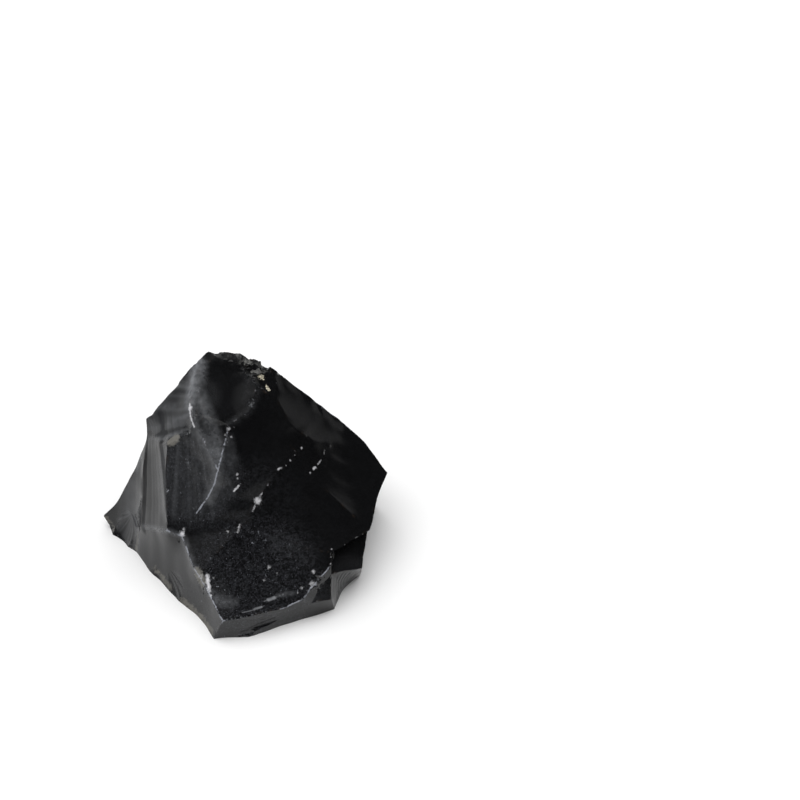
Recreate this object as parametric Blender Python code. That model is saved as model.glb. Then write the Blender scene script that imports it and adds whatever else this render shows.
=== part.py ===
"""A palm-sized chunk of raw obsidian: one solid, closed by the scars where flakes broke away."""

import math
import random

import bpy
import mathutils
import numpy as np

MM = 0.001
PITCH = 1.45  # spacing of the mesh points, in millimetres
EDGE_CLEARANCE = 0.62  # nearest an inner point comes to an arris, in pitches
WOBBLE = 0.016  # how far an arris strays from straight, as a share of its length
WOBBLE_LIMIT = 0.3  # and in millimetres
WAVE = 4.6  # spacing of the ripples a blow leaves round its striking point, in millimetres
NODE = "obsidian_chunk"

# Every place where arrises meet, in millimetres. The chunk's front looks down -Y, its rest is at Z 0.
CORNERS = {
    # knob on top and the bowl-shaped scar under it
    "knob_left": (-3.5, 44.0, 37.0),
    "knob_bump": (-2.0, 44.5, 38.5),
    "knob_dent": (-0.5, 43.5, 38.0),
    "knob_top": (0.5, 43.5, 39.0),
    "knob_right": (4.5, 44.5, 38.0),
    "bowl_left": (-3.5, 36.5, 34.5),
    "bowl_low_left": (-1.5, 32.5, 31.5),
    "bowl_low": (2.5, 31.5, 30.0),
    "bowl_low_right": (6.5, 33.5, 31.5),
    "bowl_right": (8.0, 38.0, 34.5),
    # bruised crest left of the bowl, ending in a point
    "crest_top": (-5.5, 43.0, 35.5),
    "crest_mid": (-5.5, 35.5, 32.0),
    "crest_foot": (-4.0, 31.5, 29.5),
    "crest_point": (0.5, 25.0, 23.5),
    # left shoulder and the banded faces under it
    "brow": (-10.5, 40.5, 30.5),
    "shoulder": (-15.0, 39.5, 25.0),
    "shoulder_low": (-15.0, 38.5, 21.0),
    "cheek": (-17.5, 37.0, 14.5),
    "cheek_low": (-21.5, 35.5, 7.0),
    "left_tip": (-25.0, 35.0, 3.0),
    "step_mid": (-10.0, 35.5, 26.5),
    "wedge_top": (-10.0, 31.0, 25.0),
    "wedge_foot": (-10.0, 20.5, 11.5),
    "band_mid": (-16.0, 33.5, 14.0),
    "band_foot": (-16.0, 27.0, 7.0),
    "fan_top": (-18.5, 32.5, 5.5),
    "fan_right": (-17.0, 28.5, 4.5),
    # the spine that parts the left faces from the front face
    "spine_mid": (-1.5, 23.0, 18.5),
    "spine_foot": (-7.0, 19.5, 11.0),
    "hip": (-4.0, 12.5, 8.0),
    "hip_low": (-1.0, 8.0, 6.0),
    # low fold across the front face
    "fold_top": (19.0, 32.5, 25.0),
    "fold_mid": (13.0, 26.5, 23.0),
    "fold_pit": (8.5, 20.5, 19.5),
    "fold_low": (4.5, 17.0, 14.5),
    "haze": (13.0, 16.0, 13.0),
    # rim along the foot of the front face, rising to the right
    "rim_left": (2.0, 1.9, 4.5),
    "rim_mid": (9.5, 3.4, 5.2),
    "rim_turn": (14.0, 5.5, 4.5),
    "rim_rise": (17.5, 7.0, 5.5),
    "rim_chip": (20.0, 9.0, 8.0),
    "rim_top": (23.0, 12.0, 10.0),
    "rim_end": (23.0, 13.5, 12.0),
    "band_end": (23.0, 8.5, 4.0),
    # ridge that runs from the knob down to the right tip, and the faces under it
    "ridge_start": (9.0, 44.0, 36.0),
    "ridge_upper": (13.5, 43.2, 32.5),
    "ridge_mid": (19.5, 43.0, 26.5),
    "ridge_lower": (25.0, 42.5, 21.5),
    "ridge_low": (30.0, 40.5, 17.0),
    "right_tip": (34.0, 37.5, 12.5),
    "patch_top": (11.5, 42.0, 34.0),
    "patch_left": (12.0, 37.0, 32.0),
    "patch_mid": (15.0, 33.0, 28.5),
    "patch_in": (17.0, 41.5, 28.5),
    "arris_top": (23.0, 40.5, 23.0),
    "arris_mid": (22.5, 35.0, 21.8),
    "arris_bend": (20.5, 30.0, 21.0),
    "arris_low": (19.0, 27.0, 20.5),
    "flank_top": (30.5, 22.5, 10.0),
    # right end, with a ledge under an overhanging step
    "ledge_left": (23.5, 17.0, 9.5),
    "ledge_right": (30.0, 23.0, 9.0),
    "lip_left": (23.0, 11.5, 8.0),
    "lip_right": (29.0, 15.5, 6.0),
    "side_mid": (29.5, 20.0, 7.0),
    # back
    "knob_back": (2.0, 50.0, 33.0),
    "ridge_back": (14.0, 52.0, 24.5),
    "haunch": (25.0, 50.0, 14.0),
    "spur": (-7.5, 50.0, 22.0),
    "back_shoulder": (-13.0, 47.0, 15.5),
    # flat base
    "toe_left": (0.0, 1.5, 0.0),
    "toe_right": (7.0, 2.0, 0.0),
    "toe_bend": (10.0, 3.5, 0.0),
    "toe_mid": (16.0, 6.5, 0.0),
    "foot_right": (23.5, 10.0, 0.0),
    "nick_in": (25.0, 15.5, 0.0),
    "nick_out": (26.0, 17.0, 0.0),
    "foot_end": (28.5, 20.0, 0.0),
    "side_foot": (27.0, 26.5, 0.0),
    "side_bend": (28.5, 33.5, 0.0),
    "side_back": (31.0, 42.0, 0.0),
    "back_right": (25.5, 52.5, 0.0),
    "back_foot": (4.0, 56.0, 0.0),
    "back_left": (-13.0, 50.5, 0.0),
    "tip_foot": (-22.5, 38.5, 0.0),
    "tip_low": (-23.5, 34.0, 0.0),
    "heel_bulge": (-22.5, 31.0, 0.0),
    "heel": (-20.0, 29.0, 0.0),
    "foot_left": (-17.5, 27.0, 0.0),
    "foot_upper": (-13.5, 20.0, 0.0),
    "foot_mid": (-8.0, 12.5, 0.0),
    "foot_low": (-4.0, 8.5, 0.0),
}

# Each facet: its corners anticlockwise from outside, how deep it is dished, and the height and the
# striking point of its ripples. A negative dish bulges.
FACETS = {
    "bowl": (
        "bowl_left bowl_low_left bowl_low bowl_low_right bowl_right knob_right knob_top knob_dent"
        " knob_bump knob_left",
        1.5, 0.06, "knob_top",
    ),
    "bruised_crest": (
        "crest_top crest_mid crest_foot bowl_low bowl_low_left bowl_left knob_left",
        -0.3, 0.0, "knob_left",
    ),
    "crest_end": ("crest_foot crest_point bowl_low", 0.2, 0.0, "bowl_low"),
    "brow_face": (
        "brow shoulder shoulder_low step_mid crest_mid crest_top",
        0.5, 0.12, "brow",
    ),
    "step": ("shoulder_low wedge_top crest_foot crest_mid step_mid", 0.3, 0.0, "brow"),
    "banded_face": ("shoulder_low band_mid band_foot wedge_foot wedge_top", 0.5, 0.05, "shoulder"),
    "cheek_face": (
        "shoulder_low cheek cheek_low left_tip tip_low fan_top fan_right band_foot band_mid",
        0.5, 0.0, "cheek",
    ),
    "fan": ("fan_top tip_low heel_bulge heel foot_left fan_right", 0.5, 0.0, "fan_top"),
    "lower_left_face": (
        "band_foot fan_right foot_left foot_upper foot_mid foot_low toe_left rim_left hip_low hip"
        " spine_foot wedge_foot",
        0.7, 0.05, "hip",
    ),
    "wedge_face": (
        "wedge_top wedge_foot spine_foot spine_mid crest_point crest_foot",
        0.6, 0.05, "crest_point",
    ),
    "front_upper": (
        "bowl_low crest_point spine_mid spine_foot hip fold_low fold_pit fold_mid fold_top"
        " patch_mid patch_left bowl_right bowl_low_right",
        0.9, 0.10, "bowl_low",
    ),
    "rough_top": ("knob_right bowl_right patch_left patch_top ridge_start", 0.3, 0.0, "knob_right"),
    "patch": (
        "patch_top patch_left patch_mid fold_top arris_mid arris_top patch_in",
        0.2, 0.0, "patch_top",
    ),
    "ridge_strip": (
        "ridge_start patch_top patch_in arris_top ridge_lower ridge_mid ridge_upper",
        0.2, 0.0, "ridge_start",
    ),
    "right_face": (
        "arris_top arris_mid arris_bend arris_low flank_top right_tip ridge_low ridge_lower",
        0.6, 0.10, "ridge_lower",
    ),
    "front_right": (
        "fold_top fold_mid fold_pit fold_low haze rim_end flank_top arris_low arris_bend arris_mid",
        0.7, 0.08, "arris_mid",
    ),
    "front_lower": (
        "fold_low hip hip_low rim_left rim_mid rim_turn rim_rise rim_chip rim_top rim_end haze",
        0.6, 0.06, "rim_rise",
    ),
    "toe_band": (
        "rim_left toe_left toe_right toe_bend toe_mid foot_right band_end rim_turn rim_mid",
        0.05, 0.0, "toe_mid",
    ),
    "corner_chip": ("rim_turn band_end lip_left rim_top rim_chip rim_rise", 0.3, 0.0, "rim_chip"),
    "lip_face": (
        "lip_left band_end foot_right nick_in nick_out foot_end lip_right",
        0.6, 0.0, "lip_left",
    ),
    "ledge": ("lip_left lip_right side_mid ledge_right ledge_left", 0.5, 0.0, "lip_left"),
    "ledge_wall": ("rim_end ledge_left ledge_right flank_top", 0.0, 0.0, "rim_end"),
    "ledge_end": ("rim_end rim_top lip_left ledge_left", 0.0, 0.0, "rim_end"),
    "side_chip": ("side_mid lip_right foot_end side_foot", 0.2, 0.0, "side_mid"),
    "side_face": (
        "right_tip flank_top ledge_right side_mid side_foot side_bend side_back",
        0.7, 0.12, "right_tip",
    ),
    "tip_chip": ("tip_low left_tip tip_foot", 0.0, 0.0, "left_tip"),
    "back_left_face": (
        "left_tip cheek_low cheek shoulder_low shoulder back_shoulder back_left tip_foot",
        0.8, 0.12, "shoulder",
    ),
    "back_brow": ("shoulder brow crest_top spur back_shoulder", 0.5, 0.08, "crest_top"),
    "knob_rear": (
        "crest_top knob_left knob_bump knob_dent knob_top knob_right knob_back spur",
        0.6, 0.10, "knob_top",
    ),
    "ridge_rear": (
        "knob_right ridge_start ridge_upper ridge_mid ridge_back knob_back",
        0.6, 0.10, "knob_right",
    ),
    "haunch_face": ("ridge_mid ridge_lower ridge_low haunch ridge_back", 0.5, 0.08, "ridge_mid"),
    "back_right_face": ("ridge_low right_tip side_back back_right haunch", 0.7, 0.12, "ridge_low"),
    "back_low_left": ("back_shoulder spur back_foot back_left", 0.7, 0.12, "spur"),
    "back_middle": ("spur knob_back ridge_back back_foot", 1.2, 0.14, "knob_back"),
    "back_low_right": ("ridge_back haunch back_right back_foot", 0.8, 0.12, "haunch"),
    "base": (
        "toe_right toe_left foot_low foot_mid foot_upper foot_left heel heel_bulge tip_low tip_foot"
        " back_left back_foot back_right side_back side_bend side_foot foot_end nick_out nick_in foot_right"
        " toe_mid toe_bend",
        0.0, 0.0, "toe_right",
    ),
}


def corner(name):
    return np.array(CORNERS[name])


def wobble(start, end, name):
    """A smooth random sideways offset along an arris, zero at both its ends."""
    chance = random.Random(name)
    along = end - start
    length = np.linalg.norm(along)
    reach = min(WOBBLE * length, WOBBLE_LIMIT)
    flat = start[2] == 0 and end[2] == 0
    waves = []
    for order in (1, 2, 3, 5):
        side = np.array([chance.gauss(0, 1), chance.gauss(0, 1), 0 if flat else chance.gauss(0, 1)])
        side = side - along * (side @ along) / length**2
        waves.append((order, reach * side / order))

    def offset(share):
        return sum(side * math.sin(math.pi * order * share) for order, side in waves)

    return offset


def arris_points(first, second):
    """The points of an arris from its first corner up to its second, which is left out."""
    low, high = sorted((first, second))
    start = corner(low)
    end = corner(high)
    offset = wobble(start, end, low + high)
    count = max(1, round(float(np.linalg.norm(end - start)) / PITCH))
    points = []
    for step in range(count + 1):
        share = step / count
        point = start + (end - start) * share
        if 0 < step < count:
            point = point + offset(share)
            point[2] = max(point[2], 0.0)
        points.append(((low, high, step) if 0 < step < count else (low if step == 0 else high,), point))
    if first != low:
        points.reverse()
    return points[:-1]


def facet_frame(points):
    """Centre and two in-plane directions of a loop, and its outward normal."""
    centre = points.mean(axis=0)
    around = points - centre
    normal = np.cross(around, np.roll(around, -1, axis=0)).sum(axis=0)
    normal /= np.linalg.norm(normal)
    across = np.cross((0.0, 0.0, 1.0), normal)
    if np.linalg.norm(across) < 0.1:
        across = np.array([1.0, 0.0, 0.0])
    across -= normal * (across @ normal)
    across /= np.linalg.norm(across)
    return centre, across, np.cross(normal, across), normal


def distance_to_loop(point, loop):
    ends = np.roll(loop, -1, axis=0)
    along = ends - loop
    share = ((point - loop) * along).sum(axis=1) / (along * along).sum(axis=1)
    nearest = loop + along * np.clip(share, 0, 1)[:, None]
    return np.linalg.norm(nearest - point, axis=1).min()


def inside_loop(point, loop):
    ends = np.roll(loop, -1, axis=0)
    crosses = (loop[:, 1] > point[1]) != (ends[:, 1] > point[1])
    rise = np.where(crosses, ends[:, 1] - loop[:, 1], 1.0)
    meets = loop[:, 0] + (point[1] - loop[:, 1]) * (ends[:, 0] - loop[:, 0]) / rise
    return bool((crosses & (meets > point[0])).sum() % 2)


def lattice_inside(loop):
    """Points of a triangular lattice that lie inside a flat loop, clear of its edge."""
    low = loop.min(axis=0)
    high = loop.max(axis=0)
    row_height = PITCH * math.sqrt(3) / 2
    found = []
    for row in range(int((high[1] - low[1]) / row_height) + 2):
        for column in range(int((high[0] - low[0]) / PITCH) + 2):
            point = low + np.array([(column + row % 2 / 2) * PITCH, row * row_height])
            if inside_loop(point, loop) and distance_to_loop(point, loop) > EDGE_CLEARANCE * PITCH:
                found.append(point)
    return found


def triangulate(loop, inner):
    """Triangles over a loop and its inner points, by index, and no point of its own."""
    flat = [mathutils.Vector(p) for p in [*loop, *inner]]
    made = mathutils.geometry.delaunay_2d_cdt(flat, [], [list(range(len(loop)))], 1, 1e-6)
    origin = made[3]
    return [[origin[index][0] for index in triangle] for triangle in made[2]]


def relax(triangles, total, fixed, heights, load):
    """Heights of a skin stretched over the fixed points and pressed by a load on the others."""
    free = total - fixed
    balance = np.zeros((free, free))
    pull = np.full(free, float(load))
    pairs = {tuple(sorted((t[i], t[i - 1]))) for t in triangles for i in range(3)}
    for a, b in pairs:
        for here, there in ((a, b), (b, a)):
            if here < fixed:
                continue
            balance[here - fixed, here - fixed] += 1
            if there < fixed:
                pull[here - fixed] += heights[there]
            else:
                balance[here - fixed, there - fixed] -= 1
    return np.linalg.solve(balance, pull)


def facet_surface(name):
    """Keys, positions and triangles of one facet, its arris points first."""
    loop_names, dish, ripple, struck = FACETS[name]
    names = loop_names.split()
    border = []
    for first, second in zip(names, names[1:] + names[:1]):
        border += arris_points(first, second)
    keys = [key for key, _ in border]
    points = np.array([point for _, point in border])
    centre, across, up, normal = facet_frame(points)
    flat = np.column_stack([(points - centre) @ across, (points - centre) @ up])
    inner = lattice_inside(flat)
    if not inner:
        return keys, points, triangulate(flat, [])
    triangles = triangulate(flat, inner)
    total = len(points) + len(inner)
    heights = (points - centre) @ normal
    skin = relax(triangles, total, len(points), heights, 0.0)
    sag = relax(triangles, total, len(points), np.zeros(len(points)), 1.0)
    sag /= sag.max()
    flat_inner = np.array(inner)
    strike = corner(struck) - centre
    reach = np.hypot(flat_inner[:, 0] - strike @ across, flat_inner[:, 1] - strike @ up)
    waves = ripple * np.sin(2 * math.pi * reach / WAVE) * np.sqrt(sag)
    lift = skin - dish * sag + waves
    inner_points = centre + np.outer(flat_inner[:, 0], across) + np.outer(flat_inner[:, 1], up)
    inner_points += np.outer(lift, normal)
    keys += [(name, index) for index in range(len(inner))]
    return keys, np.vstack([points, inner_points]), triangles


def chunk_mesh():
    """All facets welded along their arrises, with the middle of the footprint at the origin."""
    index_of = {}
    positions = []
    faces = []
    for name in FACETS:
        keys, points, triangles = facet_surface(name)
        for key, point in zip(keys, points):
            if key not in index_of:
                index_of[key] = len(positions)
                positions.append(point)
        faces += [[index_of[keys[i]] for i in triangle] for triangle in triangles]
    positions = np.array(positions)
    low = positions.min(axis=0)
    high = positions.max(axis=0)
    positions -= np.array([(low[0] + high[0]) / 2, (low[1] + high[1]) / 2, low[2]])
    return positions * MM, faces


def obsidian_material():
    material = bpy.data.materials.new("obsidian")
    material.use_nodes = True
    shader = material.node_tree.nodes["Principled BSDF"]
    shader.inputs["Base Color"].default_value = (0.008, 0.008, 0.009, 1)
    shader.inputs["Roughness"].default_value = 0.12
    shader.inputs["IOR"].default_value = 1.5
    return material


def build():
    for thing in list(bpy.data.objects):
        bpy.data.objects.remove(thing)
    positions, faces = chunk_mesh()
    mesh = bpy.data.meshes.new(NODE)
    mesh.from_pydata(positions.tolist(), [], faces)
    mesh.materials.append(obsidian_material())
    chunk = bpy.data.objects.new(NODE, mesh)
    bpy.context.scene.collection.objects.link(chunk)


build()
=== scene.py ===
# %% [markdown]
# # A chunk of raw obsidian
# Obsidian is volcanic glass. It has no grain to split along, so every blow leaves a smooth, slightly
# dished scar, and where two scars meet there is a sharp arris. The chunk is nothing but such scars.
# The lesson takes the plain solid of the chunk, smooths its faces, keeps its arrises, carves the small
# scars into it, and gives it the finish of dusty black glass.

# %% The fixed frame
import math
import random

import bpy
import numpy as np
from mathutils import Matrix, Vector, kdtree, noise


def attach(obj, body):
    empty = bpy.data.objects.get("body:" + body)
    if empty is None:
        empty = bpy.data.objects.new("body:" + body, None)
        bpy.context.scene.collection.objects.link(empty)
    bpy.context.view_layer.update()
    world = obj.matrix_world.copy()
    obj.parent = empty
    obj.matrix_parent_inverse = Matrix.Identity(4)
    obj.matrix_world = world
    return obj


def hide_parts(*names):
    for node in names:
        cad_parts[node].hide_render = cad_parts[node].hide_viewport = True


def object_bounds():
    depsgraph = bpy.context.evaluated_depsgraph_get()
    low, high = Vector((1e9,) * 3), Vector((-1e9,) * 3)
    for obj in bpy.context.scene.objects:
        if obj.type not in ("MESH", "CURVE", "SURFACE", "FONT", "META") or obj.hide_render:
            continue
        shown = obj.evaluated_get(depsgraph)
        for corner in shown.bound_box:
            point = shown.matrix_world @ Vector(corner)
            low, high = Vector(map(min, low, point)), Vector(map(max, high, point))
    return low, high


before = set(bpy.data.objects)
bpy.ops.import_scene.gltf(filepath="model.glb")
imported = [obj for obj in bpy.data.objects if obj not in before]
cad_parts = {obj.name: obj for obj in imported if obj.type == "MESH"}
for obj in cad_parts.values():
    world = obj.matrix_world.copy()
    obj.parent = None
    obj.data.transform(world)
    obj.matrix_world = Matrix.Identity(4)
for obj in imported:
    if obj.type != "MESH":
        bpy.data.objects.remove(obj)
cad_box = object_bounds()
MM = 0.001
TOE = np.array([4.5, 28.75, 0.0])  # the frame's origin, seen from the chunk's front toe, in mm
print("solid's box, mm:", [round(v / MM, 1) for v in cad_box[1] - cad_box[0]])

# %% [markdown]
# ## The body
# The solid's mesh is read into two plain tables: points and triangles. Points that share a place are
# welded, so that neighbours know of each other. All work on the shape is done on these tables, in
# millimetres measured from the front toe, and the solid itself is left as it is.

# %% Read the solid
def read_solid(name):
    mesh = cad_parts[name].data
    mesh.calc_loop_triangles()
    found = np.array([vertex.co for vertex in mesh.vertices]) / MM
    sides = np.array([triangle.vertices for triangle in mesh.loop_triangles])
    _, first, weld = np.unique(found.round(3), axis=0, return_index=True, return_inverse=True)
    return found[first], weld.reshape(-1)[sides]


points, triangles = read_solid("obsidian_chunk")
points = points + TOE
print("points", len(points), "triangles", len(triangles))

# %% [markdown]
# An arris is an edge where the two triangles beside it bend sharply. So the first thing to know is every
# edge, the two triangles that share it, and how far they bend.

# %% Edges and their bends
def triangle_normals(points, triangles):
    a, b, c = (points[triangles[:, i]] for i in range(3))
    return np.cross(b - a, c - a)


def unit(vectors):
    return vectors / np.maximum(np.linalg.norm(vectors, axis=-1, keepdims=True), 1e-12)


def edge_table(triangles):
    """Every edge once, the edge number of each triangle side, and the two triangles at each edge."""
    sides = np.sort(triangles[:, [[0, 1], [1, 2], [2, 0]]].reshape(-1, 2), axis=1)
    edges, number = np.unique(sides, axis=0, return_inverse=True)
    number = number.reshape(-1)
    beside = (np.argsort(number, kind="stable") // 3).reshape(-1, 2)
    return edges, number.reshape(-1, 3), beside


def bends(points, triangles):
    """All edges and the cosine of the bend at each."""
    edges, _, beside = edge_table(triangles)
    normals = unit(triangle_normals(points, triangles))
    return edges, (normals[beside[:, 0]] * normals[beside[:, 1]]).sum(axis=1)


print("edges", len(edge_table(triangles)[0]))

# %% [markdown]
# Short stray bends are only noise of the coarse mesh, so a run of sharp edges counts from four
# millimetres up, and side branches and single teeth are cleaned off it. In a few places an arris dies
# out, as it does where two scars meet at a low angle.

# %% Find the arrises
BEND = math.radians(13)
SHORTEST_RUN = 4.0
# where an arris runs out and its two faces flow together: middle and reach
RUN_OUT = [
    ((-9.5, 39.0, 29.0), 4.0),
    ((-12.5, 37.0, 24.0), 2.6),
    ((20.5, 32.0, 23.2), 3.2),
    ((18.5, 26.5, 20.5), 2.5),
]


def long_runs(points, pairs):
    """The pairs that belong to a connected run of some length."""
    leader = list(range(len(points)))

    def head(i):
        while leader[i] != i:
            leader[i] = leader[leader[i]]
            i = leader[i]
        return i

    for a, b in pairs:
        leader[head(a)] = head(b)
    heads = np.array([head(a) for a, _ in pairs])
    lengths = np.linalg.norm(points[pairs[:, 0]] - points[pairs[:, 1]], axis=1)
    total = np.bincount(heads, weights=lengths, minlength=len(points))
    return pairs[total[heads] > SHORTEST_RUN]


def without_stubs(points, pairs):
    """The pairs without the short side branches that end freely."""
    beside = {}
    for a, b in pairs.tolist():
        beside.setdefault(a, []).append(b)
        beside.setdefault(b, []).append(a)
    dropped = set()
    for end in [point for point, others in beside.items() if len(others) == 1]:
        walk = [end, beside[end][0]]
        while len(beside[walk[-1]]) == 2:
            walk.append(sum(beside[walk[-1]]) - walk[-2])
        length = sum(np.linalg.norm(points[a] - points[b]) for a, b in zip(walk, walk[1:]))
        if len(beside[walk[-1]]) > 2 and length < SHORTEST_RUN:
            dropped |= set(zip(walk, walk[1:])) | set(zip(walk[1:], walk))
    return np.array([pair for pair in pairs.tolist() if tuple(pair) not in dropped])


def without_teeth(points, triangles, pairs):
    """Where a run makes a tooth round two sides of a triangle, it takes the third side."""
    chosen = {tuple(sorted(pair)) for pair in pairs.tolist()}
    for corners in triangles.tolist():
        for turn in range(3):
            first, tip, last = (corners[(turn + step) % 3] for step in range(3))
            tooth = {tuple(sorted((first, tip))), tuple(sorted((tip, last)))}
            narrow = (points[first] - points[tip]) @ (points[last] - points[tip]) > 0
            if narrow and tooth <= chosen and sum(tip in pair for pair in chosen) == 2:
                chosen = chosen - tooth | {tuple(sorted((first, last)))}
    return np.array(sorted(chosen))


def within(middles, places):
    """True for each middle that lies in one of the places."""
    inside = [np.linalg.norm(middles - middle, axis=1) < reach for middle, reach in places]
    return np.any(inside, axis=0)


def away_from(points, pairs, places):
    """The pairs outside the given places, each a middle and a reach."""
    return pairs[~within(points[pairs].mean(axis=1), places)]


edges, cosines = bends(points, triangles)
creases = away_from(points, edges[cosines < math.cos(BEND)], RUN_OUT)
creases = without_teeth(points, triangles, creases)
creases = without_stubs(points, long_runs(points, creases))
print("arris edges", len(creases))

# %% [markdown]
# Loop's rule splits each triangle in four and rounds the surface, which turns the coarse facets into
# smooth dishes. Points on an arris follow a rule of their own that looks only along the arris, so it
# stays as sharp as broken glass. Two rounds are enough.

# %% Round the faces, keep the arrises
def edge_keys(pairs, count):
    pairs = np.sort(pairs, axis=1).astype(np.int64)
    return pairs[:, 0] * count + pairs[:, 1]


def on_creases(edges, creases, count):
    """True for each edge that is also in the list of creases."""
    return np.isin(edge_keys(edges, count), edge_keys(creases, count))


def subdivide(points, triangles, creases):
    """One round of Loop's rule. The shares with which points pull at each other are Loop's own."""
    count = len(points)
    edges, number, _ = edge_table(triangles)
    sharp = on_creases(edges, creases, count)
    a, b = edges.T
    middle = 0.375 * (points[a] + points[b])
    for side, far in ((0, 2), (1, 0), (2, 1)):
        np.add.at(middle, number[:, side], 0.125 * points[triangles[:, far]])
    middle[sharp] = 0.5 * (points[a] + points[b])[sharp]

    valence = np.bincount(edges.reshape(-1), minlength=count)
    around = np.zeros_like(points)
    np.add.at(around, a, points[b])
    np.add.at(around, b, points[a])
    share = (0.625 - (0.375 + 0.25 * np.cos(2 * np.pi / valence)) ** 2) / valence
    moved = (1 - valence * share)[:, None] * points + share[:, None] * around

    ways = np.bincount(edges[sharp].reshape(-1), minlength=count)
    along = np.zeros_like(points)
    np.add.at(along, a[sharp], points[b[sharp]])
    np.add.at(along, b[sharp], points[a[sharp]])
    run = ways == 2
    moved[run] = 0.75 * points[run] + 0.125 * along[run]
    moved[ways > 2] = points[ways > 2]

    m = count + number
    t = triangles
    children = [
        np.stack([t[:, 0], m[:, 0], m[:, 2]], axis=1),
        np.stack([t[:, 1], m[:, 1], m[:, 0]], axis=1),
        np.stack([t[:, 2], m[:, 2], m[:, 1]], axis=1),
        m,
    ]
    at = count + np.flatnonzero(sharp)
    halves = [np.stack([a[sharp], at], axis=1), np.stack([b[sharp], at], axis=1)]
    return np.vstack([moved, middle]), np.concatenate(children), np.concatenate(halves)


for _ in range(2):
    points, triangles, creases = subdivide(points, triangles, creases)
print("points", len(points), "triangles", len(triangles))

# %% [markdown]
# ## Small scars
# Chips are a millimetre or two across and sit along the arrises that stand out, so the mesh is split
# once more only there. For each point its distance to the nearest such arris is measured first.

# %% Distance to the arrises
FARTHEST = 4.0  # nothing depends on an arris that is farther away


def standing_out(points, triangles, creases):
    """The creases whose arris stands out instead of running in a valley."""
    edges, _, beside = edge_table(triangles)
    normals = triangle_normals(points, triangles)
    middles = points[triangles].mean(axis=1)
    outward = (normals[beside[:, 0]] * (middles[beside[:, 1]] - middles[beside[:, 0]])).sum(axis=1)
    return edges[on_creases(edges, creases, len(points)) & (outward < 0)]


def distance_to(points, marks):
    """From each point to the nearest mark, in millimetres."""
    tree = kdtree.KDTree(len(marks))
    for index, mark in enumerate(marks):
        tree.insert(mark, index)
    tree.balance()
    return np.array([min(tree.find(point)[2], FARTHEST) for point in points])


def vertex_normals(points, triangles):
    total = np.zeros_like(points)
    for side in range(3):
        np.add.at(total, triangles[:, side], triangle_normals(points, triangles))
    return unit(total)


def arris_marks(points, ridges):
    """Places all along the arrises: the ends and the middle of each edge."""
    return np.vstack([points[np.unique(ridges)], points[ridges].mean(axis=1)])


ridges = standing_out(points, triangles, creases)
edge_distance = distance_to(points, arris_marks(points, ridges))
print("standing arris edges", len(ridges))

# %% [markdown]
# Each chosen edge gets a point in its middle, and every triangle is cut to fit the one, two or three of
# its sides that were chosen, so the mesh stays closed. The new points are bowed out a little, so that a
# round face stays round. Places with small scars of their own are split twice.

# %% Split the mesh where it carries detail
FINE_BAND = 0.6  # how far from an arris an edge is still split in the first round
# places with small scars of their own: middle and reach
FINE_PLACES = [
    ((-19.6, 31.2, 2.6), 3.4),
    ((-9.0, 15.5, 1.4), 3.6),
    ((7.4, 42.4, 36.2), 3.3),
    ((2.6, 44.0, 38.4), 2.4),
    ((9.9, 5.4, 5.6), 3.0),
    ((9.3, 3.7, 2.2), 4.6),
]


def split_edges(points, triangles, creases, chosen, carried=()):
    """Splits the chosen edges. Values carried by the points pass on to the new points as averages."""
    count = len(points)
    edges, number, _ = edge_table(triangles)
    a, b = edges[chosen].T
    normals = vertex_normals(points, triangles)
    along = points[b] - points[a]
    bow = ((normals[a] - normals[b]) * along).sum(axis=1)[:, None] / 8
    bow = np.where(on_creases(edges[chosen], creases, count)[:, None], 0, bow)
    middle = (points[a] + points[b]) / 2 - bow * unit(normals[a] + normals[b])
    new = np.full(len(edges), -1)
    new[chosen] = count + np.arange(len(a))
    m = new[number]
    splits = (m >= 0).sum(axis=1)
    children = [triangles[splits == 0]]
    for ways in (1, 2, 3):
        for turn in range(3 if ways < 3 else 1):
            order = [(i + turn) % 3 for i in range(3)]
            t, n = triangles[:, order], m[:, order]
            fits = (splits == ways) & (n[:, 0] >= 0) & ((n[:, 1] >= 0) == (ways > 1))
            t, n = t[fits], n[fits]
            if ways == 1:
                parts = ((t[:, 0], n[:, 0], t[:, 2]), (n[:, 0], t[:, 1], t[:, 2]))
            elif ways == 2:
                parts = (
                    (n[:, 0], t[:, 1], n[:, 1]), (t[:, 0], n[:, 0], n[:, 1]),
                    (t[:, 0], n[:, 1], t[:, 2]),
                )
            else:
                parts = (
                    (t[:, 0], n[:, 0], n[:, 2]), (t[:, 1], n[:, 1], n[:, 0]),
                    (t[:, 2], n[:, 2], n[:, 1]), (n[:, 0], n[:, 1], n[:, 2]),
                )
            children += [np.stack(part, axis=1) for part in parts]
    crease = on_creases(edges, creases, count)
    whole = edges[crease & ~chosen]
    cut = crease & chosen
    halves = [np.stack([edges[cut][:, i], new[cut]], axis=1) for i in (0, 1)]
    carried = [np.concatenate([values, (values[a] + values[b]) / 2]) for values in carried]
    creases = np.concatenate([whole, *halves])
    return np.vstack([points, middle]), np.concatenate(children), creases, carried


for band in (FINE_BAND, 0.0):
    edges, _, _ = edge_table(triangles)
    fine = (edge_distance[edges].max(axis=1) < band) | within(points[edges].mean(axis=1), FINE_PLACES)
    points, triangles, creases, (edge_distance,) = split_edges(
        points, triangles, creases, fine, [edge_distance]
    )
ridges = standing_out(points, triangles, creases)
edge_distance = distance_to(points, arris_marks(points, ridges))
print("points", len(points), "triangles", len(triangles))

# %% [markdown]
# A blow sends waves through the glass, and the crack freezes them as ripples round the place that was
# struck. Away from it the crack tears into ribs that fan out from the same place. Both are shallow, a
# few hundredths of a millimetre, but a mirror shows them clearly. A scar is known by its middle, how
# far it reaches, and the way it faces.

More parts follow.
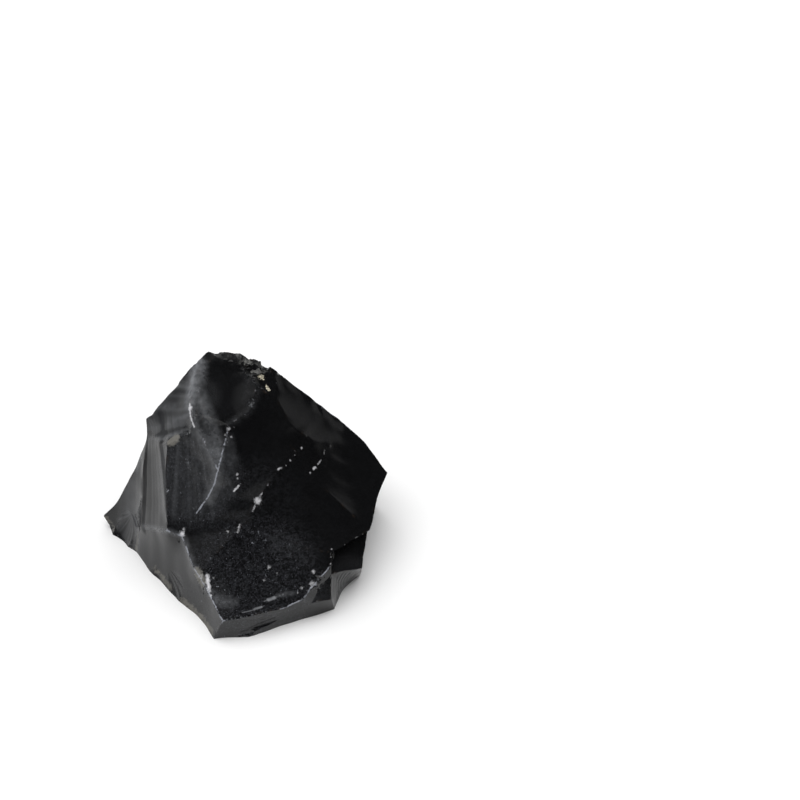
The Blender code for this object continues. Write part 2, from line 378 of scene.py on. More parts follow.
# %% The scars and their waves
BANDED = ((-15.0, 33.0, 17.0), 14.5, (-0.75, -0.49, 0.45))
BROW = ((-9.0, 39.0, 29.0), 9.0, (-0.62, -0.45, 0.64))
WEDGE = ((-4.5, 26.0, 20.0), 10.0, (-0.23, -0.80, 0.56))
LOW_LEFT = ((-7.0, 15.0, 5.5), 15.0, (-0.78, -0.57, 0.26))
BOWL = ((2.0, 39.0, 34.5), 8.0, (0.0, -0.55, 0.83))
FRONT = ((5.0, 24.0, 20.0), 15.0, (0.0, -0.70, 0.71))
FRONT_RIGHT = ((20.0, 22.0, 16.0), 14.0, (0.45, -0.45, 0.77))
FRONT_LOW = ((8.0, 10.0, 8.0), 12.0, (0.0, -0.60, 0.80))
FAN = ((-19.7, 31.2, 2.6), 3.8, (-0.70, -0.55, 0.46))
SHELL = ((-8.9, 15.4, 1.4), 3.4, (-0.69, -0.52, 0.50))
TOE_BAND = ((11.0, 4.0, 2.0), 14.0, (0.2, -0.97, 0.15))
LIP = ((26.0, 14.0, 3.5), 5.0, (0.72, -0.62, -0.30))
PATCH = ((18.0, 38.0, 27.0), 10.0, (0.65, -0.20, 0.73))
FLANK = ((30.0, 33.0, 6.0), 16.0, (0.95, -0.20, -0.20))
BACK_MIDDLE = ((3.0, 52.0, 18.0), 20.0, (0.1, 0.95, 0.25))
BACK_RIGHT = ((24.0, 49.0, 11.0), 16.0, (0.4, 0.88, 0.2))
BACK_LEFT = ((-12.0, 47.0, 14.0), 18.0, (-0.65, 0.7, 0.25))

# each ripple: scar, struck point, spacing, height
RIPPLES = [
    (BROW, (-8.5, 48.6, 36.2), 1.7, 0.018),
    (LOW_LEFT, (-4.0, 12.5, 8.0), 4.4, 0.010),
    (BOWL, (1.0, 44.0, 39.0), 2.6, 0.020),
    (FRONT, (3.0, 33.0, 30.0), 3.8, 0.030),
    (FRONT_RIGHT, (24.0, 38.0, 22.0), 4.2, 0.035),
    (LIP, (28.0, 16.5, 3.5), 0.95, 0.055),
    (PATCH, (11.0, 42.0, 34.0), 3.0, 0.010),
    (FLANK, (34.0, 37.0, 12.0), 2.4, 0.045),
    (BACK_MIDDLE, (2.0, 50.0, 33.0), 2.7, 0.045),
    (BACK_RIGHT, (25.0, 43.0, 22.0), 2.3, 0.028),
    (BACK_LEFT, (-15.0, 40.0, 25.0), 2.9, 0.040),
]
# each fan of ribs: scar, the point the ribs come from, ribs to a radian, height, how hazy they are, and
# its furrows: place and half width in radians, depth in rib heights
RIBS = [
    (
        BANDED, (-13.9, 51.2, 36.4), 34.0, 0.030, 0.27,
        [(0.53, 0.026, 2.4), (0.612, 0.012, 0.6), (0.73, 0.016, 0.8), (0.83, 0.05, 2.6)],
    ),
    (BROW, (24.0, 13.5, 51.0), 34.0, 0.015, 0.9, []),
    (WEDGE, (-7.0, 40.0, 42.0), 30.0, 0.015, 0.4, []),
    (FAN, (-18.4, 32.6, 5.9), 6.5, 0.10, 1.0, []),
    (SHELL, (-11.5, 20.0, 4.0), 18.0, 0.05, 0.6, []),
    (LOW_LEFT, (-30.0, 40.0, 6.0), 14.0, 0.006, 0.1, []),
    (FRONT_LOW, (40.0, 5.0, 6.0), 24.0, 0.020, 0.0, []),
    (TOE_BAND, (60.0, 18.0, 2.0), 90.0, 0.025, 0.5, []),
    (BACK_MIDDLE, (2.0, 50.0, 33.0), 9.0, 0.030, 0.3, []),
    (BACK_LEFT, (-15.0, 40.0, 25.0), 8.0, 0.030, 0.3, []),
]
print("rippled scars", len(RIPPLES), "ribbed scars", len(RIBS))

# %% [markdown]
# Every wave is a height added along the surface's own normal. It fades towards the rim of its scar and
# close to an arris, so that no arris is frayed by it. Where two scars overlap, the face's own direction
# tells which of them it belongs to. The ribs also leave the glass a little lighter or darker, and the
# material needs that later.

# %% Carve the ripples and ribs
FACING = (0.78, 0.93)  # how much of a scar's direction a face must share to take part, and in full
FITTING = (0.80, 1.0)  # the same for the choice between two scars
CALM = (0.05, 1.2)  # waves begin this far from an arris, and are full from there
UNEVEN = 0.10
SWAY = 1.6


def smooth(value, low, high):
    """0 below low, 1 above high, and a soft step in between."""
    share = np.clip((value - low) / (high - low), 0, 1)
    return share * share * (3 - 2 * share)


def closeness(points, place, full, none):
    """1 up to a distance from the place, 0 beyond a longer one."""
    return smooth(-np.linalg.norm(points - place, axis=1), -none, -full)


def scar_mask(points, normals, scar):
    """1 inside a scar, 0 outside it and on the faces that look another way."""
    middle, reach, facing = scar
    shared = smooth(normals @ unit(np.array(facing)), *FACING)
    return shared * closeness(points, middle, 0.8 * reach, reach)


def unevenness(places, spacing, seed):
    """Smooth noise between about -1 and 1, with bumps the given spacing apart."""
    offset = Vector((seed * 7.3, seed * 3.1, seed * 5.7))
    return np.array([noise.noise(Vector(place) / spacing + offset) for place in places])


def rib_angle(points, scar, source):
    """The direction of each point from the ribs' source, as an angle in the scar's plane."""
    facing = unit(np.array(scar[2]))
    across = unit(np.cross((0, 0, 1), facing))
    up = np.cross(facing, across)
    away = points - source
    return np.arctan2(away @ across, -(away @ up))


def rib_height(number, seed):
    """Ribs come in uneven widths, so their section is a noise along the count."""
    steps = np.round(number, 2)
    values, back = np.unique(steps, return_inverse=True)
    section = unevenness([(value, 0, 0) for value in values], 1.0, seed)
    return section[back.reshape(-1)]


def carve(points, normals):
    """The points moved by unevenness, ripples and ribs, and the ribs' share of light and dark."""
    calm = smooth(edge_distance, *CALM)
    lift = UNEVEN * unevenness(points, 9.0, 1) * smooth(edge_distance, 0.0, 3.0)
    masks = [scar_mask(points, normals, scar) for scar, _, _, _ in RIPPLES]
    fits = [smooth(normals @ unit(np.array(scar[2])), *FITTING) for scar, _, _, _ in RIPPLES]
    scores = [mask * (0.1 + fit) for mask, fit in zip(masks, fits)]
    best = np.maximum.reduce([*scores, np.full(len(points), 0.01)])
    sway = SWAY * unevenness(points, 7.0, 2)
    for mask, score, (_, struck, spacing, height) in zip(masks, scores, RIPPLES):
        reach = np.linalg.norm(points - struck, axis=1)
        share = mask * smooth(score / best, 0.6, 1.0)
        lift += height * np.sin(2 * np.pi * reach / spacing + sway) * share * calm
    stripes = np.zeros(len(points))
    for seed, (scar, source, ribs, height, haziness, furrows) in enumerate(RIBS):
        there = scar_mask(points, normals, scar)
        angle = rib_angle(points, scar, source)
        section = rib_height(angle * ribs, seed)
        for place, half_width, depth in furrows:
            section -= depth * np.exp(-(((angle - place) / half_width) ** 2))
        lift += height * section * there * calm
        stripes += haziness * section * there
    return points + normals * lift[:, None], stripes


points, stripes = carve(points, vertex_normals(points, triangles))
print("stripes from", round(float(stripes.min()), 2), "to", round(float(stripes.max()), 2))

# %% [markdown]
# A chip is the same thing again, only small: a bite with the shape of a ball. Points inside the ball
# are pushed out to its skin, into the stone. The scars that are known one by one come first. Each has a
# ball of its own, and a long scar is the same ball drawn out along a line.

# %% Scars with a place of their own
# place on the surface, the way it faces, radius of the ball, depth, and, for a long scar, the
# line that the ball is drawn out along and how many times
BITES = [
    ((-19.8, 31.4, 1.9), (-0.69, -0.54, 0.48), 6.0, 0.20, (0.32, 0.41, 0.85), 1.6),
    ((-18.0, 31.2, 5.0), (-0.64, -0.48, 0.60), 1.0, 0.18, (1.1, -3.0, -0.7), 2.6),
    ((-8.9, 15.4, 1.4), (-0.69, -0.52, 0.50), 4.0, 0.20, (0.37, -0.87, -0.34), 2.3),
    ((5.8, 2.75, 4.75), (0.05, -0.62, 0.78), 1.0, 0.24, (7.0, 1.4, 0.8), 6.0),
    ((13.0, 5.1, 2.3), (0.30, -0.95, 0.0), 0.9, 0.12, (8.0, 2.9, 0.9), 8.0),
    ((6.5, 2.5, 0.9), (0.16, -0.98, 0.1), 1.0, 0.20, (3.0, 0.4, 0.5), 3.0),
    ((11.0, 4.2, 3.6), (0.30, -0.95, 0.0), 1.2, 0.08, (8.0, 2.9, 0.5), 6.0),
    ((9.0, 3.4, 1.6), (0.25, -0.96, 0.0), 0.8, 0.08, (8.0, 2.9, 0.2), 5.0),
    ((3.7, 44.3, 38.3), (0.0, -0.2, 1.0), 0.9, 0.25),
    ((0.5, 43.5, 39.0), (0.1, 0.1, 1.0), 2.0, 0.12),
    ((8.5, 20.5, 19.5), (0.1, -0.65, 0.75), 1.1, 0.35),
    ((6.7, 40.9, 36.1), (0.5, -0.2, 0.85), 2.2, 0.30),
    ((8.9, 39.0, 34.1), (0.45, -0.2, 0.88), 1.8, 0.35),
    ((9.8, 41.0, 34.4), (0.36, -0.26, 0.9), 1.5, 0.25),
    ((8.0, 43.0, 36.6), (0.4, -0.4, 0.8), 2.0, 0.30),
    ((-2.5, 9.5, 6.6), (-0.3, -0.5, 0.8), 1.3, 0.25),
    ((20.5, 9.5, 8.0), (0.3, -0.6, 0.7), 1.4, 0.25),
]
# behind the crest of the knob, where the solid is too thin: place, full and farthest reach
KNOB_BACK = ((0.9, 44.9, 37.4), 0.5, 1.7)
THICKER = 0.6


def bite(points, place, outward, radius, depth, line=(1.0, 0.0, 0.0), length=1.0):
    """Sinks the points inside a ball down to its lower half."""
    away = points - (place + outward * (radius - depth))
    height = away @ outward
    aside = away - height[:, None] * outward
    along = unit(line - (outward @ line) * outward)
    aside -= (1 - 1 / length) * (aside @ along)[:, None] * along
    across = (aside * aside).sum(axis=1)
    inside = across + height**2 < radius**2
    bottom = -np.sqrt(radius**2 - across[inside])
    points[inside] += (bottom - height[inside])[:, None] * outward


whole = points.copy()
points[:, 2] += THICKER * closeness(points, *KNOB_BACK)
for place, facing, radius, depth, *long in BITES:
    bite(points, np.array(place), unit(np.array(facing)), radius, depth, *long)
print("scars with a place of their own", len(BITES))

# %% [markdown]
# The rest is chance, with a fixed seed so that every run gives the same stone. A few places are crushed
# to rubble, the arrises at the back lost larger flakes, and hundreds of small chips give every other
# arris the nibbled look of broken glass.

# %% Flakes, rubble and chips
CHIPS = 420
TYPICAL_CHIP, LARGEST_CHIP = 0.42, 1.8  # radius of the ball
FLAKES = 26
CHIPPED_BEND = math.radians(24)
# what counts as the back, below the crest and above the floor
BACK_FROM = 45.5
BACK_LOWEST, BACK_HIGHEST = 1.5, 30.0
# places crushed to rubble: middle, reach, number of bites, widest bite
RUBBLE = [
    ((7.2, 42.9, 36.5), 3.4, 60, 1.2),
    ((3.2, 44.0, 38.4), 2.4, 14, 0.9),
    ((-4.8, 33.5, 30.8), 1.2, 24, 0.5),
    ((-2.0, 9.8, 6.6), 2.0, 40, 0.6),
    ((20.0, 9.6, 8.2), 2.0, 30, 0.6),
    ((8.4, 20.4, 19.3), 1.0, 24, 0.5),
]
# an arris that no chips were knocked off: middle and reach
SOUND = ((-19.5, 36.0, 12.0), 6.5)
LOWEST_CHIP = 0.5
chance = random.Random(7)


def outward_from(normal, stray):
    """Roughly the way a normal looks, off by chance."""
    return unit(normal + np.array([chance.gauss(0, stray) for _ in range(3)]))


def flake(points, normals, arrises):
    """Larger flakes off the given arrises."""
    for _ in range(FLAKES):
        spot = arrises[chance.randrange(len(arrises))]
        radius = chance.uniform(2.0, 4.5)
        outward = outward_from(normals[spot].sum(axis=0), 0.5)
        bite(points, points[spot].mean(axis=0), outward, radius, chance.uniform(0.10, 0.30))


def crush(points, normals):
    """Bites so close together that only rubble is left."""
    for middle, reach, bites, widest in RUBBLE:
        there = np.flatnonzero(np.linalg.norm(points - middle, axis=1) < reach)
        for _ in range(bites):
            spot = there[chance.randrange(len(there))]
            radius = widest * chance.uniform(0.35, 1.0)
            outward = outward_from(normals[spot], 0.5)
            bite(points, points[spot].copy(), outward, radius, radius * chance.uniform(0.08, 0.25))


def chip(points, normals, arrises):
    """Many chips off the given arrises, few of them large and most of them very small."""
    for _ in range(CHIPS):
        spot = arrises[chance.randrange(len(arrises))]
        place = points[spot].mean(axis=0)
        radius = min(TYPICAL_CHIP * 2.0 ** chance.gauss(0, 0.9), LARGEST_CHIP)
        depth = radius * chance.uniform(0.07, 0.18)
        outward = outward_from(normals[spot].sum(axis=0), 0.35)
        if place[2] > LOWEST_CHIP and np.linalg.norm(place - SOUND[0]) > SOUND[1]:
            bite(points, place, outward, radius, depth)


edges, cosines = bends(whole, triangles)
sharpest = edges[cosines < math.cos(CHIPPED_BEND)]
chipped = ridges[on_creases(ridges, sharpest, len(points))]
middles = whole[chipped].mean(axis=1)
height = middles[:, 2]
back = chipped[(middles[:, 1] > BACK_FROM) & (height < BACK_HIGHEST) & (height > BACK_LOWEST)]
flake(points, vertex_normals(points, triangles), back)
crush(points, vertex_normals(points, triangles))
chip(points, vertex_normals(points, triangles), chipped)
nicked = np.linalg.norm(points - whole, axis=1)
low_corner, high_corner = (np.array(corner) / MM + TOE for corner in cad_box)
points = np.clip(points, low_corner, high_corner)
print("points moved by scars and chips:", int((nicked > 0.02).sum()))

# %% [markdown]
# ## Marks on the surface
# Rubbing leaves a grey haze on a crest and whitens an arris. Each such mark is a line through a few
# places with a width and a strength, so it lies exactly where it belongs and needs no picture. A haze
# may cross a face. A wear line whitens only the arris that it lies by. Some of the haze lines are painted
# reflections: light streaks along the rim above the toe band and a faint light strip in the bowl.

# %% Haze, painted reflections and wear
# each mark, here and below: the places its line runs through, its width and its strength
HAZES_AND_REFLECTIONS = [
    ([(-4.3, 43.0, 36.5), (-4.5, 39.5, 34.0), (-5.2, 36.0, 32.2)], 1.5, 1.2),
    ([(-3.5, 36.0, 34.0), (-2.0, 32.5, 31.5), (-0.5, 30.0, 29.5), (0.3, 27.0, 25.5)], 1.3, 0.62),
    # painted reflection: a faint light strip on the right side of the bowl
    ([(6.1, 40.8, 36.0), (6.6, 38.7, 34.4), (6.2, 36.2, 32.8)], 1.2, 0.07),
    ([(-5.5, 35.5, 32.0), (-4.0, 31.5, 29.0), (-1.5, 28.5, 26.5), (0.3, 25.5, 24.0)], 1.0, 0.5),
    ([(0.8, 29.0, 27.0), (0.0, 24.5, 21.5), (-1.5, 22.5, 18.0)], 1.0, 0.40),
    ([(2.5, 31.5, 30.0), (6.5, 34.0, 31.5), (8.0, 37.5, 33.5)], 0.7, 0.12),
    ([(-3.5, 43.5, 37.5), (0.0, 43.5, 38.5), (4.5, 44.0, 38.0), (8.0, 43.0, 36.5)], 0.8, 0.16),
    ([(2.5, 29.5, 28.0), (3.5, 26.5, 24.5)], 0.9, 0.25),
    ([(-7.0, 19.5, 11.0), (-5.5, 15.5, 9.5), (-4.0, 12.5, 8.0), (-1.0, 8.0, 6.0)], 0.7, 0.5),
    ([(1.0, 6.5, 5.5), (3.5, 6.0, 5.0)], 1.1, 0.45),
    # painted reflections: light streaks along the rim above the toe band
    ([(5.4, 3.6, 5.0), (7.6, 4.1, 5.2), (9.9, 5.0, 5.6)], 0.09, 0.9),
    ([(8.0, 4.3, 5.3), (9.4, 4.8, 5.5)], 0.20, 1.5),
    ([(9.9, 6.0, 5.9), (13.5, 7.6, 6.2)], 0.10, 1.0), ([(10.7, 6.4, 5.9), (11.9, 6.9, 6.0)], 0.26, 2.0),
    ([(12.5, 7.4, 6.2), (15.5, 7.9, 6.3)], 0.35, 0.4),
    ([(-4.3, 42.8, 36.4), (-4.7, 41.0, 35.3)], 0.45, 1.7),
    ([(-5.1, 40.5, 35.0), (-5.3, 37.0, 33.0)], 0.9, 1.6),
    ([(-3.6, 37.5, 34.0), (-3.2, 35.0, 33.0)], 0.6, 0.9),
    ([(12.0, 16.0, 13.0), (18.0, 13.0, 11.5)], 1.8, 0.06),
    ([(-15.0, 38.5, 23.0), (-10.0, 35.5, 27.5), (-5.5, 34.0, 30.5)], 0.45, 0.7),
    ([(-15.0, 38.0, 21.5), (-11.0, 34.0, 24.5), (-6.0, 32.0, 28.5)], 0.4, 0.6),
    ([(-12.5, 40.0, 27.5), (-9.0, 38.0, 29.5)], 0.5, 0.4),
    ([(-16.0, 27.0, 7.0), (-10.0, 20.5, 11.5), (-7.0, 19.5, 11.0)], 0.5, 0.6),
    ([(-17.0, 28.5, 4.5), (-17.5, 27.0, 0.5)], 0.6, 0.7),
    ([(-15.5, 38.5, 21.0), (-17.5, 37.0, 14.5)], 0.8, 0.8),
]
WEAR = [
    ([(0.5, 25.0, 23.5), (-1.5, 23.0, 18.5), (-7.0, 19.5, 11.0)], 1.2, 0.9),
    ([(1.5, 28.5, 27.0), (0.5, 25.0, 23.5)], 1.0, 0.8),
    ([(2.5, 31.5, 30.0), (1.5, 28.5, 27.0)], 0.8, 0.50),
    ([(-4.0, 31.5, 29.5), (0.5, 25.0, 23.5)], 0.8, 0.42),
    ([(2.5, 31.5, 30.0), (6.5, 33.5, 31.5), (8.0, 38.0, 34.5)], 1.0, 0.36),
    ([(-4.0, 12.5, 8.0), (-1.0, 8.0, 6.0), (2.0, 2.5, 4.0)], 0.9, 0.9),
    ([(-10.0, 20.5, 11.5), (-7.0, 19.5, 11.0), (-4.0, 12.5, 8.0)], 0.8, 0.65),
    ([(14.0, 5.5, 4.5), (17.5, 7.0, 5.5), (20.0, 9.0, 8.0), (22.5, 11.5, 9.6)], 0.8, 0.8),
    ([(21.5, 32.5, 22.0), (20.0, 29.0, 20.8)], 1.0, 0.7),
    ([(16.5, 31.0, 24.5), (13.0, 26.5, 23.0), (8.5, 20.5, 19.5), (4.5, 17.0, 14.5)], 0.8, 0.36),
    ([(19.5, 43.0, 26.5), (25.0, 42.5, 21.5), (30.0, 40.5, 17.0)], 0.8, 0.6),
]
print("hazes", len(HAZES_AND_REFLECTIONS), "wear lines", len(WEAR))

# %% [markdown]
# A glancing knock crushes the glass to white powder. Such a bruise is a ragged spot or a short stroke,
# so it is given as a place or a line, and the material frays its border later on.

# %% Bruises
# crushed spots and short scratches, a spot with one place and its radius
PITS = [
    ([(-5.3, 34.8, 31.5)], 0.60, 1.25), ([(-5.4, 35.5, 32.0), (-5.3, 33.8, 30.4)], 0.28, 1.1),
    ([(-5.3, 33.8, 30.4), (-4.4, 31.7, 29.3)], 0.27, 1.0),
    ([(2.5, 31.0, 29.3)], 0.45, 0.9), ([(3.0, 30.0, 28.0)], 0.35, 0.8), ([(1.9, 30.2, 28.4)], 0.3, 0.8),
    ([(3.6, 31.2, 29.6)], 0.3, 0.8),
    ([(8.4, 20.6, 19.4)], 0.85, 1.25), ([(8.4, 20.6, 19.4), (9.3, 21.8, 20.3)], 0.25, 0.75),
    ([(8.2, 20.2, 19.0), (7.5, 19.3, 17.8)], 0.3, 0.85),
    ([(12.4, 26.2, 22.8), (13.0, 26.6, 22.9)], 0.3, 0.95), ([(14.7, 28.2, 23.4)], 0.3, 0.85),
    ([(13.9, 27.1, 23.0)], 0.22, 0.8), ([(15.6, 29.4, 23.8)], 0.22, 0.7), ([(16.9, 30.9, 24.4)], 0.35, 0.9),
    ([(18.7, 27.5, 20.8)], 0.25, 0.9), ([(19.3, 28.5, 21.0), (19.7, 28.9, 21.0)], 0.35, 1.0),
    ([(20.2, 29.8, 21.2), (20.8, 30.8, 21.4)], 0.25, 0.9),
    ([(21.4, 31.9, 21.7), (21.5, 33.0, 22.0)], 0.28, 0.95),
    ([(4.2, 25.3, 22.3)], 0.34, 0.95), ([(4.3, 24.8, 21.6)], 0.24, 0.85), ([(4.9, 24.1, 20.8)], 0.2, 0.8),
    ([(4.5, 23.8, 20.5), (3.6, 23.2, 19.7)], 0.26, 1.1), ([(3.9, 23.5, 20.0)], 0.36, 0.95),
    ([(2.3, 25.2, 21.6)], 0.2, 0.7),
    ([(4.8, 17.9, 15.4), (4.5, 16.9, 14.3)], 0.3, 0.85), ([(2.4, 17.5, 14.0)], 0.4, 0.8),
    ([(-6.9, 19.8, 11.4)], 0.65, 1.2), ([(-6.6, 20.3, 12.1)], 0.4, 1.0), ([(-3.5, 19.5, 11.5)], 0.35, 0.8),
    ([(9.8, 10.0, 7.9)], 0.35, 0.9), ([(9.1, 8.6, 6.8)], 0.28, 0.8),
    ([(10.7, 12.0, 9.4)], 0.45, 0.85), ([(12.3, 11.0, 8.6)], 0.35, 0.75),
    ([(-1.5, 11.4, 7.7), (-1.3, 9.8, 6.9), (-1.1, 8.7, 6.4)], 0.5, 1.15), ([(-0.6, 7.6, 5.9)], 0.35, 1.0),
    ([(-2.8, 11.4, 7.3)], 0.7, 0.9), ([(-0.2, 10.8, 7.6)], 0.4, 0.8),
    ([(19.5, 11.0, 9.1)], 0.45, 1.0), ([(19.3, 9.0, 7.8)], 0.55, 1.1), ([(17.4, 8.7, 6.9)], 0.45, 1.0),
    ([(18.4, 8.2, 6.6)], 0.3, 0.9), ([(16.4, 7.9, 6.4)], 0.25, 0.8),
    ([(23.0, 14.6, 11.9)], 0.3, 0.9), ([(23.1, 13.0, 11.3)], 0.3, 0.9), ([(22.9, 12.1, 10.3)], 0.28, 0.9),
    ([(26.0, 23.0, 14.0)], 0.3, 0.8), ([(-10.7, 32.5, 20.0)], 0.3, 0.8), ([(-16.6, 36.7, 17.0)], 0.6, 0.9),
]
print("bruises", len(PITS))

# %% [markdown]
# Three things are not obsidian's own black and white. Two cream glints beside the knob are painted
# highlights, set in the colour with a little relief, some chipped borders are rubbed to a beige grey, and
# loose crumbs fill the broken place on the knob.

# %% Painted highlights, scuffs and crumbs
# painted highlights: two cream glints beside the knob
PAINTED_GLINTS = [
    ([(8.8, 40.9, 34.7)], 0.70, 1.1), ([(9.8, 39.2, 33.8), (10.3, 38.3, 33.3)], 0.34, 1.0),
]
# chipped borders, rubbed to a beige grey
SCUFFS = [
    ([(-9.3, 31.6, 25.5), (-8.3, 31.7, 26.2)], 0.85, 1.5),
    ([(-3.4, 12.6, 7.6), (-2.6, 10.4, 6.8)], 1.0, 1.2),
    ([(-13.0, 21.0, 0.8), (-9.5, 15.5, 0.6)], 0.7, 0.8),
    ([(-7.0, 12.0, 0.6), (-3.0, 6.8, 0.5), (-0.5, 3.0, 0.5)], 0.8, 1.0),
    ([(-17.4, 28.4, 4.2), (-17.6, 27.3, 0.6)], 0.5, 0.9),
    ([(-24.6, 34.8, 2.6), (-23.0, 33.4, 0.8)], 0.6, 0.8),
    ([(-16.0, 36.6, 16.2), (-15.2, 38.0, 20.0)], 0.5, 0.7),
]
# loose crumbs that fill a broken place: middle, full and farthest reach
CRUMBS = [((7.5, 43.2, 36.6), 2.0, 3.8), ((2.6, 44.0, 38.6), 0.8, 2.6)]
print("painted_highlights", len(PAINTED_GLINTS), "scuffs", len(SCUFFS), "heaps of crumbs", len(CRUMBS))

# %% [markdown]
# Each kind of mark becomes one number at every point of the mesh, which a material can read by its name.
# The smallest spots are finer than the mesh, so the edges that touch them are split twice more.

# %% From marks to numbers
FINEST = 0.12  # no edge shorter than this is split
FAINTEST = 0.15  # a spot's field below this needs no finer mesh


def distance_to_line(points, line):
    """From each point to a line through several places, or to a single place."""
    nearest = np.linalg.norm(points - line[0], axis=1)
    for start, end in zip(np.array(line), np.array(line[1:])):
        along = end - start
        share = np.clip((points - start) @ along / (along @ along), 0, 1)
        nearest = np.minimum(nearest, np.linalg.norm(points - start - share[:, None] * along, axis=1))
    return nearest


def line_marks(points, marks):
    """Each mark's strength on its line, fading to 0 at twice the width."""
    field = np.zeros(len(points))
    for line, width, strength in marks:
        reach = distance_to_line(points, line) / width
        field = np.maximum(field, strength * smooth(-reach, -2.0, -0.2))
    return field


def spot_marks(points, marks):
    """Each mark's strength in its middle, half of it at the radius, and falling off evenly."""
    field = np.zeros(len(points))
    for line, radius, strength in marks:
        reach = distance_to_line(points, line) / radius
        field = np.maximum(field, strength * np.clip(1.1 - 0.6 * reach, 0, 1))
    return field


for _ in range(2):
    edges, _, _ = edge_table(triangles)
    spots = spot_marks(points, PITS + PAINTED_GLINTS) > FAINTEST
    lengths = np.linalg.norm(points[edges[:, 0]] - points[edges[:, 1]], axis=1)
    marked = spots[edges].any(axis=1) & (lengths > FINEST)
    points, triangles, creases, (edge_distance, stripes, nicked) = split_edges(
        points, triangles, creases, marked, [edge_distance, stripes, nicked]
    )
print("points", len(points), "triangles", len(triangles))

# %% [markdown]
# Some things cover whole faces. Handling leaves a thin grey film, glass that tore instead of parting
# cleanly is matt, and dust keeps to the parts that were handled least. The film thins towards the toe,
# which is painted shade. They are written as soft balls round a place, times the way a face looks. The
# larger of several values counts.

# %% Film with painted shade, torn glass and dust
def film_and_toe_shade(points, normals):
    """The film on the faces at the left: thick at the far corner and thin in the scars. Less film towards
    the toe is painted shade.
    """
    film_and_shade = 0.8 + 1.9 * closeness(points, (-20.0, 34.0, 7.0), 4.0, 8.0)
    # painted shade: the film thins towards the toe, so the lower left face darkens there as if it mirrored
    # the floor's shadow
    film_and_shade -= 0.8 * closeness(points, (1.0, 3.0, 3.0), 3.0, 13.0)
    film_and_shade *= smooth(-normals[:, 0], 0.35, 0.65) * smooth(-normals[:, 1], -0.2, 0.2)
    film_and_shade *= 1 - 0.85 * closeness(points, FAN[0], 1.6, 3.4)
    film_and_shade *= 1 - 0.6 * closeness(points, SHELL[0], 1.2, 2.4)
    return film_and_shade * (1 - 0.85 * closeness(points, (-12.5, 31.0, 17.0), 5.0, 9.0))


normals = vertex_normals(points, triangles)
marks = {
    "edge": edge_distance,
    "haze": line_marks(points, HAZES_AND_REFLECTIONS),
    "wear": line_marks(points, WEAR),
    "pit": spot_marks(points, PITS),
    "painted_glint": spot_marks(points, PAINTED_GLINTS),
    "scuff": line_marks(points, SCUFFS),
    "crumb": np.maximum.reduce([closeness(points, *crumb) for crumb in CRUMBS]),
    "nick": smooth(nicked, 0.02, 0.15) * smooth(-edge_distance, -1.0, -0.2),
    "stripe": stripes,
    "film_and_shade": np.maximum.reduce([
        film_and_toe_shade(points, normals),
        0.65 * closeness(points, (-5.0, 26.0, 20.0), 7.5, 12.0),
        0.2 * closeness(points, (0.0, 39.0, 34.0), 5.0, 9.0),
        0.6 * closeness(points, (20.5, 8.0, 5.5), 2.0, 4.0),
        np.full(len(points), 0.08),
        0.25 * smooth(normals[:, 1], -0.1, 0.3),
    ]),
    "torn": smooth(-normals[:, 1], -0.1, 0.2) * np.maximum.reduce([
        1.0 * closeness(points, (-10.0, 39.0, 28.5), 5.5, 8.0),
        0.4 * closeness(points, (-5.0, 27.0, 21.0), 6.0, 11.0),
        0.7 * closeness(points, (-19.7, 31.4, 3.2), 2.4, 4.2),
        0.2 * closeness(points, (0.0, 4.0, 3.0), 2.5, 6.0),
        0.15 * closeness(points, (-12.2, 32.0, 17.5), 2.5, 5.5),
        0.3 * closeness(points, (26.0, 14.0, 3.5), 4.0, 7.0),
        0.4 * closeness(points, SHELL[0], 2.0, 3.6),
        0.5 * closeness(points, (9.0, 3.5, 2.0), 8.0, 12.0) * smooth(-normals[:, 1], 0.7, 0.9),
        0.4 * closeness(points, (-3.0, 36.5, 33.5), 2.5, 5.0),
    ]),
    "dust": np.maximum.reduce([
        closeness(points, (7.0, 10.0, 8.0), 9.0, 19.0),
        closeness(points, (-5.0, 26.0, 20.0), 8.0, 11.5),
        0.7 * closeness(points, (3.0, 25.0, 21.0), 2.0, 9.0),
        0.45 * closeness(points, (8.0, 21.0, 18.0), 6.0, 14.0),
        0.35 * smooth(normals[:, 1], -0.1, 0.3),
        np.full(len(points), 0.12),
    ]),
}

for name, values in marks.items():
    print(name, "from", round(float(values.min()), 2), "to", round(float(values.max()), 2))

# %% [markdown]
# ## The finished body
# The tables become one Blender mesh. Smooth shading lets light run evenly over a dished face, and an
# edge that is marked sharp breaks it, so the arrises stay crisp. The chunk is one natural stone, so it
# is one piece, and it stands in for the whole plain solid.

# %% Build the mesh
SHARP = math.radians(22)


def add_values(mesh, name, values):
    mesh.attributes.new(name, "FLOAT", "POINT").data.foreach_set("value", values.astype(np.float32))


def make_mesh(name, points, triangles, creases):
    mesh = bpy.data.meshes.new(name)
    mesh.from_pydata(((points - TOE) * MM).tolist(), [], triangles.tolist())
    ends = np.zeros(len(mesh.edges) * 2, dtype=np.int32)
    mesh.edges.foreach_get("vertices", ends)
    edges, cosines = bends(points, triangles)
    folded = np.concatenate([edges[cosines < math.cos(SHARP)], creases])
    mesh.shade_smooth()
    flags = mesh.attributes.new("sharp_edge", "BOOLEAN", "EDGE")
    flags.data.foreach_set("value", on_creases(ends.reshape(-1, 2), folded, len(points)))
    thing = bpy.data.objects.new(name, mesh)
    bpy.context.scene.collection.objects.link(thing)
    return thing


chunk = make_mesh("obsidian", points, triangles, creases)
for name, values in marks.items():
    add_values(chunk.data, name, values)
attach(chunk, "root")
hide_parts("obsidian_chunk")
print("chunk, mm:", [round(side / MM, 1) for side in chunk.dimensions])

